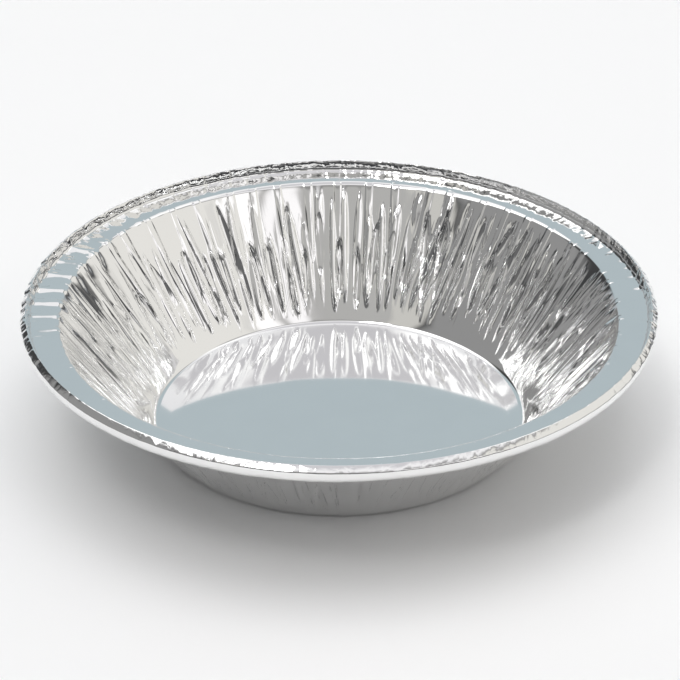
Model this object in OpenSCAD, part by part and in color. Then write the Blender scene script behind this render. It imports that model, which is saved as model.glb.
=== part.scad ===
// Round foil baking cup. One disc of aluminium foil is drawn to a flared cup:
// a flat base, a wall gathered into folds, a flange and a crimped, rolled edge.
// Units are millimetres, +Z is up, and the origin is the centre of the base.

/* [Cup] */
// Outside diameter, over the rolled edge
rim_d = 125; // [118:1:150]
// Diameter of the mouth, where the wall turns into the flange
mouth_d = 110; // [98:1:112]
// Diameter of the base, where the wall meets it
base_d = 74; // [60:1:86]
// Height from the underside of the base to the top of the rolled edge
cup_h = 27; // [22:0.5:40]
// Thickness of the foil
foil_t = 0.08; // [0.06:0.01:0.15]

/* [Bends] */
// Radius of the bend between the base and the wall
corner_r = 1.3; // [0.8:0.1:2.5]
// Radius of the bend between the wall and the flange
shoulder_r = 1.4; // [0.8:0.1:2]
// Radius of the bend between the flange and the rolled edge
rise_r = 0.6; // [0.4:0.1:0.8]

/* [Rolled edge] */
// Width of the roll
curl_w = 2; // [1.6:0.1:2.6]
// Height of the roll
curl_h = 3.7; // [3:0.1:4.4]
// How far the flange lies below the top of the roll
flange_drop = 2.3; // [1.9:0.1:2.8]
// How far the foil turns back in under the roll, in degrees
curl_turn = 145; // [60:5:160]
// How far a crimp is pressed into the roll
crimp_depth = 0.18; // [0:0.02:0.24]

/* [Folds] */
// Number of folds gathered into the wall, every second one a long crease
fold_count = 88; // [60:4:88]
// Height of the deepest folds, from valley to crest
fold_depth = 1.6; // [0.4:0.1:1.8]
// Height of a long crease where it crosses the flange
crease_depth = 0.24; // [0:0.02:0.3]
// Sideways lean of the folds, in degrees round the cup
fold_lean = 1.8; // [0:0.1:2.4]
// Share of the wall's length that stays smooth at its foot
smooth_foot = 0.09; // [0.05:0.01:0.2]
// Seed of the folds' uneven heights, lengths and places
fold_seed = 7; // [1:1:99]

/* [Hidden] */

rim_r = rim_d / 2;
mouth_r = mouth_d / 2;
base_r = base_d / 2;

// The section is drawn along the middle of the foil
floor_z = foil_t / 2;
flange_z = cup_h - flange_drop;
curl_r = (curl_w - foil_t) / 2;
curl_x = rim_r - curl_w / 2;
crown_z = cup_h - curl_w / 2;
under_z = cup_h - curl_h + curl_w / 2;

// Slope of the wall, and how much of the base and the flange its bends take
wall_slope = atan2(flange_z - floor_z, mouth_r - base_r);
corner_x = base_r - corner_r * tan(wall_slope / 2);
shoulder_x = mouth_r + shoulder_r * tan(wall_slope / 2);

// Steps along each bend, up the wall, over the roll and in under it
corner_steps = 2;
wall_steps = 6;
shoulder_steps = 2;
rise_steps = 2;
crown_steps = 4;
under_steps = 3;

// Columns of points round the cup: a crest and a valley for each fold, and
// half as many round the rolled edge, where every second one is crimped
column_count = 2 * fold_count;
column_step = 360 / column_count;

// Uneven values, one for each column
side_shift = rands(-0.2, 0.2, column_count, fold_seed);
fold_share = rands(0.5, 1, column_count, fold_seed + 1);
fold_head = rands(0.42, 0.86, column_count, fold_seed + 2);
foot_shift = rands(-0.22, 0.22, column_count, fold_seed + 3);
head_length = 0.34;
lean_waves = 7;

function mix(a, b, share) = a + (b - a) * share;
function smooth(x) = let (t = min(max(x, 0), 1)) t * t * (3 - 2 * t);

// A station of the section is [radius, height, slope, place up the wall], and
// an arc of stations runs from one slope to the other about its centre
function arc_stations(x, z, r, from, to, steps, place) = [
    for (i = [0:steps])
        let (slope = mix(from, to, i / steps))
        [x + r * sin(slope), z - r * cos(slope), slope, place]
];

corner = arc_stations(corner_x, floor_z + corner_r, corner_r,
                      0, wall_slope, corner_steps, 0);
shoulder = arc_stations(shoulder_x, flange_z - shoulder_r, -shoulder_r,
                        wall_slope, 0, shoulder_steps, 1);
wall = [
    for (i = [1:wall_steps - 1])
        let (share = i / wall_steps, low = corner[corner_steps], high = shoulder[0])
        [mix(low[0], high[0], share), mix(low[1], high[1], share), wall_slope, share]
];

// The flange bends up to the roll's inner side. The roll's two sides are upright,
// and it is round over the crown and underneath.
rise = arc_stations(curl_x - curl_r - rise_r, flange_z + rise_r, rise_r, 0, 90, rise_steps, 1);
crown = arc_stations(curl_x, crown_z, -curl_r, 90, -90, crown_steps, 1);
under = arc_stations(curl_x, under_z, -curl_r, -90, -90 - curl_turn, under_steps, 1);

// The folded zone has every column, and the rolled edge every second one
folded = concat(corner, wall, shoulder);
rolled = concat(rise, crown, under);
folded_rings = len(folded);
rolled_rings = len(rolled);
folded_size = folded_rings * column_count;
rolled_size = rolled_rings * fold_count;
skin_size = folded_size + rolled_size;

// Even columns are crests and odd ones valleys. Each fold grows out of the
// smooth foot and dies away at a height of its own, and a long crease runs on.
function fold_height(column, place) =
    let (
        side = column % 2 == 0 ? 0.5 : -0.5,
        foot = smooth(place / smooth_foot - 1),
        head = 1 - smooth((place - fold_head[column]) / head_length),
        crease = column % 4 == 0 ? crease_depth * foot : 0
    )
    max(side * fold_depth * fold_share[column] * foot * head, crease);

// Folds shift and lean sideways, most at the foot of the wall
function column_angle(column, place) =
    column_step * (column + side_shift[column] + foot_shift[column] * (1 - place))
    + fold_lean * sin(lean_waves * column_step * column) * (place - 0.5);

// One point of a skin of the foil: side is 1 on the inside, -1 on the outside
function skin_point(station, angle, lift, side) =
    let (
        off = lift + side * foil_t / 2,
        r = station[0] - off * sin(station[2])
    )
    [r * cos(angle), r * sin(angle), station[1] + off * cos(station[2])];

function skin_points(side) = concat(
    [
        for (station = folded)
            for (column = [0:column_count - 1])
                skin_point(station, column_angle(column, station[3]),
                           fold_height(column, station[3]), side)
    ],
    [
        for (ring = [0:rolled_rings - 1])
            for (fold = [0:fold_count - 1])
                let (crimp = ring > rise_steps && fold % 2 == 1 ? crimp_depth : 0)
                skin_point(rolled[ring], column_step * 2 * fold, -crimp, side)
    ]
);

// Faces between two rings of as many points, and where a ring has half as many
function even_band(low, high, count) = [
    for (i = [0:count - 1])
        let (next = (i + 1) % count)
        each [
            [low + i, low + next, high + next],
            [low + i, high + next, high + i]
        ]
];
function halving_band(low, high) = [
    for (fold = [0:fold_count - 1])
        let (
            here = low + 2 * fold,
            next = low + (2 * fold + 2) % column_count,
            up = high + fold,
            up_next = high + (fold + 1) % fold_count
        )
        each [
            [here, here + 1, up],
            [here + 1, up_next, up],
            [here + 1, next, up_next]
        ]
];

function flipped(faces) = [for (f = faces) [for (i = [len(f) - 1:-1:0]) f[i]]];

inside_faces = concat(
    [[for (column = [0:column_count - 1]) column_count - 1 - column]],
    [
        for (ring = [0:folded_rings - 2])
            each even_band(ring * column_count, (ring + 1) * column_count, column_count)
    ],
    halving_band(folded_size - column_count, folded_size),
    [
        for (ring = [0:rolled_rings - 2])
            let (low = folded_size + ring * fold_count)
            each even_band(low, low + fold_count, fold_count)
    ]
);
outside_faces = [for (f = flipped(inside_faces)) [for (i = f) i + skin_size]];
edge_faces = even_band(skin_size - fold_count, 2 * skin_size - fold_count, fold_count);

module foil_cup() {
    color("gainsboro")
        polyhedron(
            points = concat(skin_points(1), skin_points(-1)),
            faces = concat(inside_faces, outside_faces, edge_faces),
            convexity = 10
        );
}

foil_cup();
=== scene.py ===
from math import atan2, cos, dist, pi, radians, sin, tan
import bpy
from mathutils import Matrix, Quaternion, Vector


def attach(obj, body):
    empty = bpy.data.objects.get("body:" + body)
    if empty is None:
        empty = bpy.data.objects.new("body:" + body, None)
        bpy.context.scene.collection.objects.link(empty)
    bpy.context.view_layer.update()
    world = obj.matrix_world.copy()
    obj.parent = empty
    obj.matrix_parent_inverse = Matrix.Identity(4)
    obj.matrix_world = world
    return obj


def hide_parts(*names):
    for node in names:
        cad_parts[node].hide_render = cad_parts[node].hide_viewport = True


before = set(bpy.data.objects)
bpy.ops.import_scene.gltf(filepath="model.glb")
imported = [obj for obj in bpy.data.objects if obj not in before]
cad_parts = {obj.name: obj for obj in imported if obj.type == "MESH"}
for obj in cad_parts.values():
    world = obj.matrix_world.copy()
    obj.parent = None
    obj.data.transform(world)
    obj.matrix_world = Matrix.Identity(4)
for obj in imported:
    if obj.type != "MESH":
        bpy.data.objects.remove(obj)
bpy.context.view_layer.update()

mm = 0.001


# Node trees as Python expressions: a Value wraps one socket, and a sum, difference,
# product or quotient of values adds its Math node
class Value:
    def __init__(self, kit, socket):
        self.kit = kit
        self.socket = socket

    def __add__(self, other):
        return self.kit.math("ADD", self, other)

    def __radd__(self, other):
        return self.kit.math("ADD", other, self)

    def __sub__(self, other):
        return self.kit.math("SUBTRACT", self, other)

    def __rsub__(self, other):
        return self.kit.math("SUBTRACT", other, self)

    def __mul__(self, other):
        return self.kit.math("MULTIPLY", self, other)

    def __rmul__(self, other):
        return self.kit.math("MULTIPLY", other, self)

    def __truediv__(self, other):
        return self.kit.math("DIVIDE", self, other)

    def __rtruediv__(self, other):
        return self.kit.math("DIVIDE", other, self)


class NodeKit:
    def __init__(self, tree):
        self.tree = tree

    # One node: its type, its settings, which come first, and its sockets' values or links
    def node(self, kind, settings=None, sockets=None):
        made = self.tree.nodes.new(kind)
        for name, value in (settings or {}).items():
            setattr(made, name, value)
        for name, value in (sockets or {}).items():
            self.feed(made.inputs[name], value)
        return made

    def feed(self, socket, value):
        if isinstance(value, Value):
            value = value.socket
        if isinstance(value, bpy.types.NodeSocket):
            self.tree.links.new(value, socket)
        else:
            socket.default_value = value

    # The same, giving one output as a value
    def value(self, kind, settings=None, sockets=None, output=0):
        return Value(self, self.node(kind, settings, sockets).outputs[output])

    def math(self, operation, *terms):
        return self.value("ShaderNodeMath", {"operation": operation}, dict(enumerate(terms)))

    def vector(self, operation, *terms):
        return self.value("ShaderNodeVectorMath", {"operation": operation}, dict(enumerate(terms)))

    def combine(self, x, y, z):
        return self.value("ShaderNodeCombineXYZ", {}, {0: x, 1: y, 2: z})

    def separate(self, vector):
        made = self.node("ShaderNodeSeparateXYZ", {}, {0: vector})
        return [Value(self, made.outputs[axis]) for axis in range(3)]

    # A soft step from start to end, between two bounds
    def ramp(self, value, low, high, start=0.0, end=1.0):
        return self.value(
            "ShaderNodeMapRange",
            {"interpolation_type": "SMOOTHSTEP"},
            {"Value": value, "From Min": low, "From Max": high, "To Min": start, "To Max": end},
        )

    def clamp(self, value):
        return self.value("ShaderNodeClamp", {}, {"Value": value})

    def noise(self, vector, scale, detail=1.0):
        sockets = {"Vector": vector, "Scale": scale, "Detail": detail}
        return self.value("ShaderNodeTexNoise", {}, sockets)

    # How far a point is from the nearest border between cells of uneven shape
    def cracks(self, vector, scale):
        settings = {"feature": "DISTANCE_TO_EDGE"}
        return self.value("ShaderNodeTexVoronoi", settings, {"Vector": vector, "Scale": scale})

    def blend(self, under, over, share):
        sockets = {0: share, 6: under, 7: over}
        return self.value("ShaderNodeMix", {"data_type": "RGBA"}, sockets, output=2)


# The cup's section, in millimetres and degrees, and the steps that its mesh takes.
# The sizes are the solid's, and the roll has the photo's form, leaning back in front.
cup = {
    "rimD": 125,
    "mouthD": 110,
    "baseD": 74,
    "height": 27,
    "foilT": 0.08,
    "cornerR": 1.3,
    "shoulderR": 1.4,
    "riseR": 0.6,
    "curlW": 2,
    "curlH": 3.7,
    "flangeDrop": 2.3,
    "curlTurn": 145,
    "underShare": 0.6,      # of the roll's turn, on the oval that goes in underneath
    "innerTurn": 68,        # where the roll's inner side starts, counted from its top
    "crownIn": 0.6,         # from the roll's inner side to its top
    "crownR": 0.45,
    "frontLean": 40,
    "frontR": 0.5,
    "baseRing": 2.5,        # from the corner in to the base's ring of points
    "columns": 920,
    "cornerSteps": 3,
    "wallSteps": 24,
    "shoulderSteps": 4,
    "flangeSteps": 3,
    "riseSteps": 2,
    "innerSteps": 4,
    "crownSteps": 2,
    "slantSteps": 2,
    "frontSteps": 3,
    "underSteps": 4,
    "weldGap": 0.00001,
}


def mix(low, high, share):
    return low + (high - low) * share


# An arc of stations [radius, height, slope] from one slope to another, in radians
def arcStations(x, z, r, start, end, steps):
    slopes = [mix(start, end, i / steps) for i in range(steps + 1)]
    return [(x + r * sin(slope), z - r * cos(slope), slope) for slope in slopes]


# The stations between two others, on a straight line
def lineStations(low, high, steps):
    shares = [i / steps for i in range(1, steps)]
    return [(mix(low[0], high[0], s), mix(low[1], high[1], s), low[2]) for s in shares]


# A stretch of an oval, from one turn to another in degrees, counted from its top
def ovalStations(x, z, width, height, start, end, steps):
    stations = []
    for i in range(steps + 1):
        t = radians(mix(start, end, i / steps))
        slope = atan2(height * sin(t), width * cos(t))
        stations.append((x - width * sin(t), z + height * cos(t), slope))
    return stations


# The roll: an oval inner side up to the crown, a front that leans back, and an oval
# side that turns in underneath
def rollStations(size):
    half = size["foilT"] / 2
    rimR = size["rimD"] / 2
    topZ = size["height"] - half
    lean = radians(size["frontLean"])
    crownX = rimR - size["curlW"] + size["crownIn"]
    innerWidth = size["crownIn"] - half
    innerHeight = size["flangeDrop"] - half
    inner = ovalStations(
        crownX, topZ - innerHeight, innerWidth, innerHeight, size["innerTurn"], 0, size["innerSteps"]
    )
    crown = arcStations(crownX, topZ - size["crownR"], -size["crownR"], 0, -lean, size["crownSteps"])
    frontX = rimR - half - size["frontR"]
    run = frontX + size["frontR"] * sin(lean) - crown[-1][0]
    frontZ = crown[-1][1] - run * tan(lean) - size["frontR"] * cos(lean)
    front = arcStations(frontX, frontZ, -size["frontR"], -lean, -pi / 2, size["frontSteps"])
    slant = lineStations(crown[-1], front[0], size["slantSteps"])
    underWidth = rimR - half - crownX
    underHeight = frontZ - (size["height"] - size["curlH"] + half)
    underEnd = -90 - size["curlTurn"] * size["underShare"]
    under = ovalStations(crownX, frontZ, underWidth, underHeight, -90, underEnd, size["underSteps"])
    return inner[:-1] + crown + slant + front + under[1:]


# Stations along the middle of the foil, from the axis out to the end of the roll,
# each with its place up the wall and its place round the roll
def sectionStations(size):
    baseR, mouthR = size["baseD"] / 2, size["mouthD"] / 2
    cornerR, shoulderR, riseR = size["cornerR"], size["shoulderR"], size["riseR"]
    floorZ = size["foilT"] / 2
    curlR = (size["curlW"] - size["foilT"]) / 2
    curlX = size["rimD"] / 2 - size["curlW"] / 2
    flangeZ = size["height"] - size["flangeDrop"]
    slope = atan2(flangeZ - floorZ, mouthR - baseR)
    cornerX = baseR - cornerR * tan(slope / 2)
    shoulderX = mouthR + shoulderR * tan(slope / 2)
    riseX = curlX - curlR - riseR
    corner = arcStations(cornerX, floorZ + cornerR, cornerR, 0, slope, size["cornerSteps"])
    shoulder = arcStations(shoulderX, flangeZ - shoulderR, -shoulderR, slope, 0, size["shoulderSteps"])
    wall = lineStations(corner[-1], shoulder[0], size["wallSteps"])
    rise = arcStations(riseX, flangeZ + riseR, riseR, 0, pi / 2, size["riseSteps"])
    flange = lineStations(shoulder[-1], rise[0], size["flangeSteps"])
    roll = rollStations(size)
    stations = [(0, floorZ, 0, 0, 0), (cornerX - size["baseRing"], floorZ, 0, 0, 0)]
    stations += [(*s, 0, 0) for s in corner]
    stations += [(*s, (i + 1) / size["wallSteps"], 0) for i, s in enumerate(wall)]
    stations += [(*s, 1, 0) for s in shoulder + flange + rise]
    stations += [(*s, 1, (i + 1) / len(roll)) for i, s in enumerate(roll)]
    return stations


# The section as one line of vertices, out along the inside skin and back along
# the outside one, with what the node tree reads from each
def sectionMesh(size):
    stations = sectionStations(size)
    steps = [dist(a[:2], b[:2]) for a, b in zip(stations, stations[1:])]
    slants = [sum(steps[:i]) for i in range(len(stations))]
    order = range(len(stations))
    both = [(1, i) for i in order] + [(-1, i) for i in reversed(order)]
    points = []
    fields = {"wallPlace": [], "rollPlace": [], "slant": [], "normalX": [], "normalZ": []}
    for side, i in both:
        r, z, slope, wallPlace, rollPlace = stations[i]
        normalX, normalZ = -sin(slope), cos(slope)
        off = side * size["foilT"] / 2
        points.append(((r + off * normalX) * mm, 0, (z + off * normalZ) * mm))
        row = (wallPlace, rollPlace, slants[i] * mm, normalX, normalZ)
        for values, value in zip(fields.values(), row):
            values.append(value)
    mesh = bpy.data.meshes.new("section")
    mesh.from_pydata(points, [(i, i + 1) for i in range(len(points) - 1)], [])
    for name, values in fields.items():
        mesh.attributes.new(name, "FLOAT", "POINT").data.foreach_set("value", values)
    return mesh


# What a user would change in the folds. Heights and sizes are in millimetres, feet and
# heads are shares of the wall's length, and widths are shares of the room that a fold
# has. A swing is how far a ring follows the lean that all of them share. Left, right
# and front go by the direction from the axis, which has parts from -1 to 1.
folds = {
    "creases": {
        "count": 54, "height": 0.42, "width": 0.16, "flat": 0.1, "tilt": 0.4, "lean": 0.5,
        "foot": (0.1, 0.6), "head": (1.3, 1.7), "swing": 0.018, "seed": 11,
    },
    "pleats": {
        "count": 112, "height": 0.6, "width": 0.34, "flat": 0.25, "tilt": 0.8, "lean": 0.6,
        "foot": (0.07, 0.2), "head": (0.5, 1.15), "swing": 0.085, "seed": 23,
    },
    "tucks": {
        "count": 78, "height": -0.62, "width": 0.26, "flat": 0.3, "tilt": 0.8, "lean": 0.7,
        "foot": (0.08, 0.35), "head": (0.5, 1.0), "swing": -0.095, "seed": 37,
    },
    "ripples": {
        "count": 64, "height": 0.34, "width": 0.4, "flat": 0.0, "tilt": 0.8, "lean": 0.9,
        "foot": (0.9, 0.95), "head": (1.2, 1.3), "seed": 67,
    },
    "crimps": {"count": 88, "height": -0.3, "width": 0.2, "lean": 0, "least": 0.3, "seed": 51},
    "billows": {
        "height": 0.9, "size": 9, "stretch": 3.0, "shift": 3.1, "foot": (0.0, 0.3), "head": (0.7, 1.0),
    },
    "streaks": {
        "height": 0.11, "size": 2.0, "stretch": 9.0, "shift": 9.7, "foot": (0.04, 0.2),
        "head": (0.6, 1.0), "rest": 0.25,
    },
    "sway": {"height": 0.2, "size": 14, "foot": (0.02, 0.6)},
    "crinkles": {"height": 0.7, "size": 3.4, "onFlange": 0.7, "inFront": 0.3, "front": (-0.8, 0.2)},
    "leastHeight": 0.4,             # of a ring's lowest fold, as a share of its height
    "leastReach": 0.001,
    "swell": 1.6,                   # how soon a fold gains its height from its ends
    "leanWaves": 3.4,
    "left": (-0.5, -0.9),
    "calmLeft": 0.45,
    "right": (0.2, 0.7),
    "riseRight": 0.22,
    "topFade": (0.88, 1.0),
    "flangeFade": (21, 31),         # past the base's edge, along the foil
    "riseFade": (32, 35),
    "rollFade": (0.0, 0.25),        # shares of the roll
    "rippledBack": (-0.4, -0.05),
    "rippledClusters": (0.35, 0.6),
    "rippledLeast": 0.5,
    "ripplePatches": (0.5, 0.65),
    "rippleSpread": 0.05,
    "patchSize": 26,
    "clusterSize": 7,
    "calmClusters": (0.42, 0.58),
    "clusterCalm": 0.6,
    "seed": 5,
}


# A ring of folds: each takes a place and a lean of its own in its cell of the
# circle. Gives the cell's random numbers and how far a point is from the fold's middle.
def foldCells(kit, turn, place, ring, seed):
    across = kit.math("FLOORED_MODULO", turn * ring["count"], ring["count"])
    cell = kit.math("FLOOR", across)
    sockets = {"W": cell + (seed + ring["seed"])}
    noise = kit.node("ShaderNodeTexWhiteNoise", {"noise_dimensions": "1D"}, sockets)
    fates = kit.separate(noise.outputs["Color"])
    room = 1 - 2 * ring["width"]
    stand = (Value(kit, noise.outputs["Value"]) - 0.5) * (room * (1 - ring["lean"]))
    slip = (fates[2] - 0.5) * (place - 0.5) * (2 * room * ring["lean"])
    return fates, across - (cell + 0.5 + stand + slip)


# Lens-shaped folds with round ends: a crest of uneven tilt between soft sides
def foldRing(kit, turn, place, ring, seed):
    (low, high, size), offset = foldCells(kit, turn, place, ring, seed)
    foot = low * (ring["foot"][1] - ring["foot"][0]) + ring["foot"][0]
    head = high * (ring["head"][1] - ring["head"][0]) + ring["head"][0]
    along = kit.clamp((place - foot) / (head - foot))
    lens = kit.math("SQRT", along * (1 - along) * 4)
    reach = lens * ring["width"] + folds["leastReach"]
    crest = kit.ramp(kit.math("ABSOLUTE", offset), reach, reach * ring["flat"])
    tilt = 1 + (high - 0.5) * offset * (2 * ring["tilt"] / ring["width"])
    least = folds["leastHeight"]
    share = size * (1 - least) + least
    return crest * kit.clamp(lens * folds["swell"]) * tilt * share * (ring["height"] * mm)


# Crimps across the roll, narrow and of uneven depth
def crimpRing(kit, turn, ring, seed):
    (depth, width, _), offset = foldCells(kit, turn, 0.5, ring, seed)
    least = ring["least"]
    reach = (width * (1 - least) + least) * ring["width"]
    groove = kit.ramp(kit.math("ABSOLUTE", offset), reach, 0)
    return groove * (depth * (1 - least) + least) * (ring["height"] * mm)


# Where a tree asks for the folds: the turn round the axis, the direction from it, the
# place up the wall, and how far the folds lean there, to and fro about the wall's middle
class FoldPlaces:
    def __init__(self, kit, turn, x, y, wall):
        self.turn = turn
        self.x = x
        self.y = y
        self.wall = wall
        self.around = kit.combine(x, y, 0)
        self.leaning = (kit.noise(self.around, folds["leanWaves"]) - 0.5) * (wall - 0.5)


# The wall's pleats and tucks together. At the right they reach higher.
def wallFolds(kit, at, pleats, tucks, seed):
    place = at.wall * kit.ramp(at.x, *folds["right"], 1.0, 1 - folds["riseRight"])
    raised = foldRing(kit, at.turn + at.leaning * pleats["swing"], place, pleats, seed)
    return raised + foldRing(kit, at.turn + at.leaning * tucks["swing"], place, tucks, seed)


# The long creases, which run over the shoulder
def longCreases(kit, at, creases, seed):
    return foldRing(kit, at.turn + at.leaning * creases["swing"], at.wall, creases, seed)


# What is left of the wall's folds: less at the left, and nothing at the wall's top
def heldBack(kit, at, lift):
    calm = 1 - kit.ramp(at.x, *folds["left"]) * (1 - folds["calmLeft"])
    return lift * calm * kit.ramp(at.wall, *folds["topFade"], 1.0, 0.0)


# A place on the foil for patterns that are drawn out along the wall
def foilSpace(kit, at, size, slant, stretch, shift):
    foldRoom = size["mouthD"] / 4 + size["baseD"] / 4
    return kit.combine(at.x * foldRoom, at.y * foldRoom, slant / (mm * stretch) + shift)


# How far the wall and the flange are lifted: by the folds with their streaks and
# billows, the long creases, and the ripples on the flange
def sheetLift(kit, at, size, slant, foldSpace, clusters, seed):
    streaks, billows = folds["streaks"], folds["billows"]
    streakZone = kit.ramp(at.wall, *streaks["foot"]) * kit.ramp(
        at.wall, *streaks["head"], 1.0, streaks["rest"]
    )
    billowZone = kit.ramp(at.wall, *billows["foot"]) * kit.ramp(at.wall, *billows["head"], 1.0, 0.0)
    billowSpace = foilSpace(kit, at, size, slant, billows["stretch"], seed * billows["shift"])
    streaked = kit.noise(foldSpace, 1 / streaks["size"], 2.0) - 0.5
    billowed = kit.noise(billowSpace, 1 / billows["size"]) - 0.5
    wall = (
        wallFolds(kit, at, folds["pleats"], folds["tucks"], seed)
        + streaked * streakZone * (streaks["height"] * mm)
        + billowed * billowZone * (billows["height"] * mm)
    )
    baseR = size["baseD"] / 2
    low, high = folds["flangeFade"]
    onFlange = kit.ramp(slant / mm, baseR + low, baseR + high)
    creases = longCreases(kit, at, folds["creases"], seed) * (1 - onFlange)
    patches = kit.noise(at.around, size["rimD"] / 2 / folds["patchSize"])
    rippled = (
        kit.ramp(at.x, *folds["left"])
        * kit.ramp(at.y, *folds["rippledBack"])
        * kit.ramp(clusters, *folds["rippledClusters"], folds["rippledLeast"], 1.0)
        + kit.ramp(patches, *folds["ripplePatches"]) * folds["rippleSpread"]
    )
    ripples = foldRing(kit, at.turn, at.wall, folds["ripples"], seed) * rippled
    return heldBack(kit, at, wall) + creases + ripples


# How far the roll is pressed in, by crimps and crumpled foil: less in front, and more
# or less from cluster to cluster
def rollLift(kit, at, size, slant, clusters, seed):
    crinkles = folds["crinkles"]
    rimR = size["rimD"] / 2
    foilPlace = kit.combine(at.x * rimR, at.y * rimR, slant / mm)
    crinkle = kit.cracks(foilPlace, 1 / crinkles["size"])
    inFront = kit.ramp(at.y, *crinkles["front"], crinkles["inFront"], 1.0)
    worn = inFront * kit.ramp(clusters, *folds["calmClusters"], folds["clusterCalm"], 1.0)
    return (crimpRing(kit, at.turn, folds["crimps"], seed) - crinkle * (crinkles["height"] * mm)) * worn


# The tree: turns the section round the axis, then lifts each point off the
# smooth form by the folds, creases and crimps at its place
def cupTree(size):
    tree = bpy.data.node_groups.new("wrinkledCup", "GeometryNodeTree")
    for name, kind in (
        ("Section", "NodeSocketGeometry"),
        ("Columns", "NodeSocketInt"),
        ("Fold height", "NodeSocketFloat"),
        ("Seed", "NodeSocketFloat"),
        ("Foil", "NodeSocketMaterial"),
    ):
        tree.interface.new_socket(name, in_out="INPUT", socket_type=kind)
    tree.interface.new_socket("Cup", in_out="OUTPUT", socket_type="NodeSocketGeometry")
    kit = NodeKit(tree)
    asked = tree.nodes.new("NodeGroupInput").outputs
    seed = Value(kit, asked["Seed"])

    def named(name, kind="FLOAT"):
        return kit.value("GeometryNodeInputNamedAttribute", {"data_type": kind}, {"Name": name})

    def store(geometry, name, value, kind="FLOAT"):
        return kit.value(
            "GeometryNodeStoreNamedAttribute",
            {"data_type": kind, "domain": "POINT"},
            {"Geometry": geometry, "Name": name, "Value": value},
        )

    place = kit.value("GeometryNodeInputPosition")
    sectionCurve = kit.value("GeometryNodeMeshToCurve", {}, {0: asked["Section"]})
    profile = store(sectionCurve, "sectionAt", place, "FLOAT_VECTOR")
    circle = kit.value("GeometryNodeCurvePrimitiveCircle", {}, {"Resolution": asked["Columns"]})
    factor = kit.value("GeometryNodeSplineParameter", output="Factor")
    rail = store(circle, "turn", factor)
    swept = kit.value("GeometryNodeCurveToMesh", {}, {"Curve": rail, "Profile Curve": profile})

    radius, _, height = kit.separate(named("sectionAt", "FLOAT_VECTOR"))
    turn, slant = named("turn"), named("slant")
    angle = turn * (2 * pi)
    at = FoldPlaces(kit, turn, kit.math("COSINE", angle), kit.math("SINE", angle), named("wallPlace"))
    streaks, sway = folds["streaks"], folds["sway"]
    streakStretch = streaks["stretch"] / streaks["size"]
    foldSpace = foilSpace(kit, at, size, slant, streakStretch, seed * streaks["shift"])
    clusters = kit.noise(at.around, size["rimD"] / 2 / folds["clusterSize"])
    onRoll = kit.ramp(named("rollPlace"), *folds["rollFade"])
    baseR = size["baseD"] / 2
    low, high = folds["riseFade"]
    atRise = kit.ramp(slant / mm, baseR + low, baseR + high)
    sheet = sheetLift(kit, at, size, slant, foldSpace, clusters, seed) * (1 - onRoll)
    foldRoom = size["mouthD"] / 4 + size["baseD"] / 4
    swayed = kit.noise(at.around, foldRoom / sway["size"]) - 1
    swayed = swayed * kit.ramp(at.wall, *sway["foot"]) * (sway["height"] * mm)
    edgeShare = kit.math("MAXIMUM", onRoll, atRise * folds["crinkles"]["onFlange"])
    edge = rollLift(kit, at, size, slant, clusters, seed) * edgeShare
    lift = (sheet + swayed + edge) * Value(kit, asked["Fold height"])
    outward = radius + lift * named("normalX")
    up = height + lift * named("normalZ")
    moved = kit.combine(at.x * outward, at.y * outward, up)
    shaped = kit.value("GeometryNodeSetPosition", {}, {"Geometry": swept, "Position": moved})
    gap = size["weldGap"] * mm
    closed = kit.value("GeometryNodeMergeByDistance", {}, {"Geometry": shaped, "Distance": gap})
    patterned = store(closed, "foldSpace", foldSpace, "FLOAT_VECTOR")
    smooth = kit.value("GeometryNodeSetShadeSmooth", {}, {"Geometry": patterned})
    solid = kit.value("GeometryNodeRealizeInstances", {}, {"Geometry": smooth})
    finished = kit.value("GeometryNodeSetMaterial", {}, {"Geometry": solid, "Material": asked["Foil"]})
    kit.feed(tree.nodes.new("NodeGroupOutput").inputs["Cup"], finished)
    return tree


# Puts the tree on the section, sets its inputs by identifier and keeps the mesh
def buildCup(size, material):
    host = bpy.data.objects.new("cupSection", sectionMesh(size))
    bpy.context.collection.objects.link(host)
    tree = cupTree(size)
    turned = host.modifiers.new("wrinkledCup", "NODES")
    turned.node_group = tree
    asked = {"Columns": size["columns"], "Fold height": 1.0, "Seed": float(folds["seed"]), "Foil": material}
    for item in tree.interface.items_tree:
        if item.item_type == "SOCKET" and item.name in asked:
            turned[item.identifier] = asked[item.name]
    evaluated = host.evaluated_get(bpy.context.evaluated_depsgraph_get())
    mesh = bpy.data.meshes.new_from_object(evaluated)
    bpy.data.objects.remove(host)
    piece = bpy.data.objects.new("foilCup", mesh)
    bpy.context.collection.objects.link(piece)
    return piece


def newMaterial(name):
    material = bpy.data.materials.new(name)
    material.use_nodes = True
    material.node_tree.nodes.clear()
    return material, NodeKit(material.node_tree)


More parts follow.
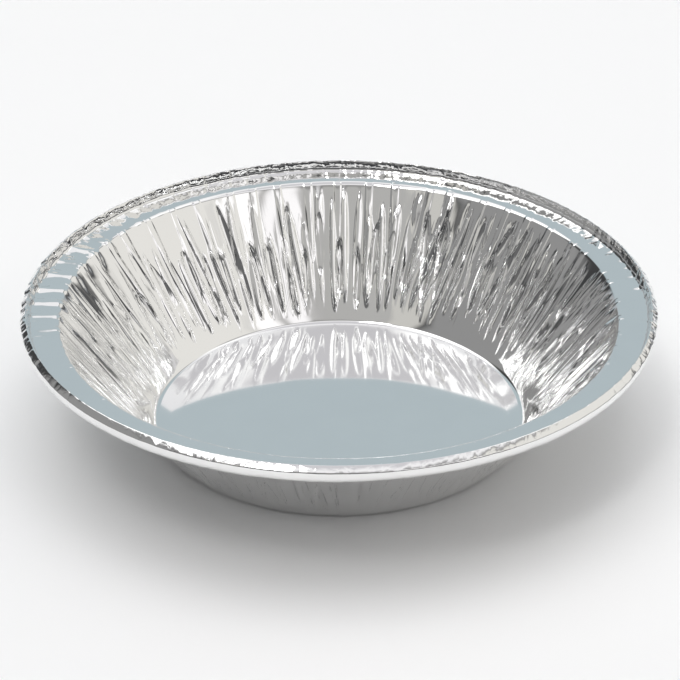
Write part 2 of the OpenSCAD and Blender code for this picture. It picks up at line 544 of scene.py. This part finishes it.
# Bright rolled foil: a mirror with fine rolling grain, and small gathers and dents
# where the wall is folded and the edge is rolled. Sizes are in millimetres.
foilFinish = {
    "colour": (0.91, 0.91, 0.905, 1),
    "shade": (0.87, 0.87, 0.865, 1),
    "cloudSize": 9,
    "roughness": 0.05,
    "roughnessSpread": 0.03,
    "grainSize": 0.25,
    "grainStretch": 60,
    "grainHeight": 0.00012,
    "waveSize": 16,
    "waveHeight": 0.03,
    "streakSize": 0.5,
    "streakStretch": 0.4,
    "streakHeight": 0.008,
    "crinkleSize": 1.5,
    "crinkleHeight": 0.13,
    "creaseEdge": {"flat": 0.5, "height": 0.16},
    "pleatEdge": {"flat": 0.66, "height": 0.14},
    "tuckEdge": {"flat": 0.66, "height": -0.14},
    "gathers": {
        "count": 230, "height": 0.014, "width": 0.34, "flat": 0.3, "tilt": 0.5, "lean": 0.7,
        "foot": (0.06, 0.4), "head": (0.5, 0.9), "seed": 83,
    },
    "wallFoot": (0.03, 0.12),
    "wallHead": (0.8, 1.0),
    "rollFade": (0.0, 0.1),
    "rollR": 62,
    "creaseEnd": (54.5, 56.5),      # from the axis
    "poleR": 0.001,                 # keeps the axis out of the divisions
}


def foilMaterial(finish):
    material, kit = newMaterial("brightFoil")
    seed = folds["seed"]
    place = kit.value("ShaderNodeTexCoord", output="Object")
    placeX, placeY, placeZ = kit.separate(place)
    grainPlace = kit.combine(placeX / finish["grainStretch"], placeY, placeZ)

    def noise(vector, size, detail):
        return kit.noise(vector, 1 / (size * mm), detail)

    def attribute(name, output):
        return kit.value("ShaderNodeAttribute", {"attribute_name": name}, output=output)

    grain = noise(grainPlace, finish["grainSize"], 3.0)
    clouds = noise(place, finish["cloudSize"], 3.0)
    waves = noise(place, finish["waveSize"], 1.0)
    turn = kit.math("ARCTAN2", placeY, placeX) / (2 * pi)
    radius = kit.math("SQRT", placeX * placeX + placeY * placeY) + finish["poleR"] * mm
    at = FoldPlaces(kit, turn, placeX / radius, placeY / radius, attribute("wallPlace", "Fac"))
    onWall = kit.ramp(at.wall, *finish["wallFoot"]) * kit.ramp(at.wall, *finish["wallHead"], 1.0, 0.0)
    crinkles = folds["crinkles"]
    inFront = kit.ramp(placeY / (finish["rollR"] * mm), *crinkles["front"], crinkles["inFront"], 1.0)
    onRoll = kit.ramp(attribute("rollPlace", "Fac"), *finish["rollFade"]) * inFront
    streakX, streakY, streakZ = kit.separate(attribute("foldSpace", "Vector"))
    streakPlace = kit.combine(streakX, streakY, streakZ * finish["streakStretch"])
    streaks = kit.noise(streakPlace, 1 / finish["streakSize"], 2.0)
    dents = kit.cracks(place, 1 / (finish["crinkleSize"] * mm))
    # The pressed edges of the folds that the mesh has
    creases = {**folds["creases"], **finish["creaseEdge"]}
    pleats = {**folds["pleats"], **finish["pleatEdge"]}
    tucks = {**folds["tucks"], **finish["tuckEdge"]}
    wallEdges = wallFolds(kit, at, pleats, tucks, seed)
    creaseInner, creaseOuter = finish["creaseEnd"]
    creaseZone = kit.ramp(radius, creaseInner * mm, creaseOuter * mm, 1.0, 0.0)
    gathers = foldRing(kit, turn, at.wall, finish["gathers"], seed)
    heightMap = (
        heldBack(kit, at, wallEdges)
        + longCreases(kit, at, creases, seed) * creaseZone
        + (gathers + streaks * (finish["streakHeight"] * mm)) * onWall
        + dents * onRoll * (finish["crinkleHeight"] * mm)
        + waves * (finish["waveHeight"] * mm)
        + grain * (finish["grainHeight"] * mm)
    )
    normal = kit.value("ShaderNodeBump", {}, {"Height": heightMap, "Strength": 1.0, "Distance": 1.0})
    colour = kit.blend(finish["shade"], finish["colour"], clouds)
    spread = 2 * finish["roughnessSpread"]
    roughness = finish["roughness"] + (grain * 0.5 + clouds * 0.5 - 0.5) * spread
    shader = kit.value(
        "ShaderNodeBsdfPrincipled",
        {},
        {"Base Color": colour, "Metallic": 1.0, "Roughness": kit.clamp(roughness), "Normal": normal},
    )
    kit.node("ShaderNodeOutputMaterial", {}, {"Surface": shader})
    return material


# The pale floor that the cup stands on. Its side is in metres.
paleFloor = {
    "side": 4.0,
    "colour": (0.93, 0.93, 0.93, 1),
    "roughness": 0.6,
    "roughnessSpread": 0.1,
    "speckleScale": 6.0,
}


def floorMaterial(finish):
    material, kit = newMaterial("paleFloor")
    place = kit.value("ShaderNodeTexCoord", output="Object")
    speckle = kit.noise(place, finish["speckleScale"], 4.0)
    roughness = finish["roughness"] + speckle * finish["roughnessSpread"]
    sockets = {"Base Color": finish["colour"], "Roughness": roughness}
    shader = kit.value("ShaderNodeBsdfPrincipled", {}, sockets)
    kit.node("ShaderNodeOutputMaterial", {}, {"Surface": shader})
    return material


def makeFloor(finish):
    side = finish["side"] / 2
    corners = [(-side, -side, 0), (side, -side, 0), (side, side, 0), (-side, side, 0)]
    mesh = bpy.data.meshes.new("floor")
    mesh.from_pydata(corners, [], [(0, 1, 2, 3)])
    mesh.materials.append(floorMaterial(finish))
    floor = bpy.data.objects.new("floor", mesh)
    bpy.context.collection.objects.link(floor)


# The room, as light by direction. The sky goes through its colours by elevation, in
# degrees, and each panel lies over it, about an azimuth counted from +X towards +Y and
# as far to either side as its half says. Its edges fade over its blur, sideways and up.
room = {
    "sky": (
        (0, (0.05, 0.051, 0.054)),
        (34, (0.06, 0.06, 0.06)),
        (50, (0.16, 0.158, 0.155)),
        (62, (0.98, 0.97, 0.985)),
        (74, (0.68, 0.67, 0.7)),
    ),
    "panels": (
        {"azimuth": 90, "half": 24, "rise": (43, 60), "blur": (8, 7), "colour": (0.95, 0.95, 0.97)},
        {"azimuth": 140, "half": 20, "rise": (47, 62), "blur": (14, 8), "colour": (1.6, 1.6, 1.6)},
        {"azimuth": 42, "half": 14, "rise": (52, 62), "blur": (14, 8), "colour": (1.2, 1.2, 1.2)},
        {"azimuth": 90, "half": 32, "rise": (-20, 37), "blur": (10, 8), "colour": (0.47, 0.545, 0.58)},
        {"azimuth": 90, "half": 64, "rise": (-20, 2), "blur": (12, 8), "colour": (0.44, 0.45, 0.465)},
        {"azimuth": -94, "half": 32, "rise": (22, 36), "blur": (20, 10), "colour": (0.14, 0.14, 0.142)},
        {"azimuth": -104, "half": 18, "rise": (37, 49), "blur": (20, 5), "colour": (0.48, 0.475, 0.465)},
        {"azimuth": -135, "half": 5, "rise": (34, 48), "blur": (7, 5), "colour": (0.62, 0.61, 0.58)},
        {"azimuth": -50, "half": 20, "rise": (35, 47), "blur": (16, 6), "colour": (0.56, 0.55, 0.545)},
        {"azimuth": -40, "half": 4, "rise": (33, 48), "blur": (8, 6), "colour": (1.2, 1.18, 1.18)},
        {"azimuth": -62, "half": 3, "rise": (33, 48), "blur": (7, 6), "colour": (1.1, 1.08, 1.09)},
        {"azimuth": 11, "half": 34, "rise": (18, 46), "blur": (14, 10), "colour": (0.86, 0.845, 0.81)},
        {"azimuth": -162, "half": 30, "rise": (-20, 8), "blur": (14, 8), "colour": (0.45, 0.45, 0.46)},
        {"azimuth": 180, "half": 24, "rise": (15, 44), "blur": (13, 9), "colour": (0.3, 0.3, 0.3)},
        {"azimuth": 180, "half": 32, "rise": (56, 70), "blur": (10, 8), "colour": (1.8, 1.8, 1.8)},
        {"azimuth": -122, "half": 8, "rise": (56, 68), "blur": (4, 4), "colour": (8, 8, 8)},
    ),
    "leastLevel": 0.0001,       # keeps the zenith out of the division
}


def makeWorld(spec):
    world = bpy.data.worlds.new("softRoom")
    world.use_nodes = True
    world.node_tree.nodes.clear()
    kit = NodeKit(world.node_tree)
    towards = kit.vector("NORMALIZE", kit.value("ShaderNodeTexCoord", output="Generated"))
    towardsX, towardsY, towardsZ = kit.separate(towards)
    elevation = kit.math("ARCSINE", towardsZ) * (180 / pi)
    level = kit.math("SQRT", towardsX * towardsX + towardsY * towardsY) + spec["leastLevel"]
    light = (*spec["sky"][0][1], 1)
    for (low, _), (high, colour) in zip(spec["sky"], spec["sky"][1:]):
        light = kit.blend(light, (*colour, 1), kit.ramp(elevation, low, high))
    for panel in spec["panels"]:
        azimuth, half = radians(panel["azimuth"]), panel["half"]
        (low, high), (aside, above) = panel["rise"], panel["blur"]
        facing = (towardsX * cos(azimuth) + towardsY * sin(azimuth)) / level
        glow = kit.ramp(facing, cos(radians(half + aside)), cos(radians(half)))
        glow = glow * kit.ramp(elevation, low - above, low)
        glow = glow * kit.ramp(elevation, high + above, high)
        light = kit.blend(light, (*panel["colour"], 1), glow)
    background = kit.value("ShaderNodeBackground", {}, {"Color": light, "Strength": 1.0})
    kit.node("ShaderNodeOutputWorld", {}, {"Surface": background})
    bpy.context.scene.world = world


# A wide soft lamp overhead, in metres and watts. It lights the floor, and no
# reflection shows it.
overhead = {"side": 0.9, "place": (0, 0.15, 1.3), "power": 4.6}


def makeLamp(spec):
    data = bpy.data.lights.new("overhead", "AREA")
    data.size = spec["side"]
    data.energy = spec["power"]
    lamp = bpy.data.objects.new("overhead", data)
    lamp.location = spec["place"]
    lamp.visible_glossy = False
    bpy.context.collection.objects.link(lamp)


# The camera: its angles in degrees, its distance from the rim's centre in metres, and
# the pixel of the picture where that centre lies. The sensor is in millimetres.
view = {
    "elevation": 29,
    "distance": 0.5256,
    "roll": -0.22,
    "focusPixels": 2680,
    "frameWidth": 680,
    "rimPixel": (339.0, 296.9),
    "sensorWidth": 36,
    "clip": (0.01, 20),
}


def makeCamera(spec, rimZ):
    data = bpy.data.cameras.new("camera")
    camera = bpy.data.objects.new("camera", data)
    bpy.context.collection.objects.link(camera)
    data.sensor_width = spec["sensorWidth"]
    data.lens = data.sensor_width * spec["focusPixels"] / spec["frameWidth"]
    data.clip_start, data.clip_end = spec["clip"]
    rise = radians(spec["elevation"])
    rimCentre = Vector((0, 0, rimZ))
    camera.location = rimCentre + spec["distance"] * Vector((0, -cos(rise), sin(rise)))
    # The aim is turned off the rim's centre by as much as that lies off the picture's
    half = spec["frameWidth"] / 2
    aside = (half - spec["rimPixel"][0]) / spec["focusPixels"]
    below = (half - spec["rimPixel"][1]) / spec["focusPixels"]
    tilt = rise + below
    aim = Vector((aside, cos(tilt), -sin(tilt)))
    camera.rotation_mode = "QUATERNION"
    rolled = Quaternion((0, 0, 1), radians(spec["roll"]))
    camera.rotation_quaternion = aim.to_track_quat("-Z", "Y") @ rolled
    bpy.context.scene.camera = camera


foil = foilMaterial(foilFinish)
cupPiece = buildCup(cup, foil)
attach(cupPiece, "root")
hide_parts("foil_cup")
print("cup built:", len(cupPiece.data.polygons), "faces")

makeFloor(paleFloor)
makeWorld(room)
makeLamp(overhead)
makeCamera(view, cup["height"] * mm)
bpy.context.scene.view_settings.view_transform = "Standard"
print("studio set")
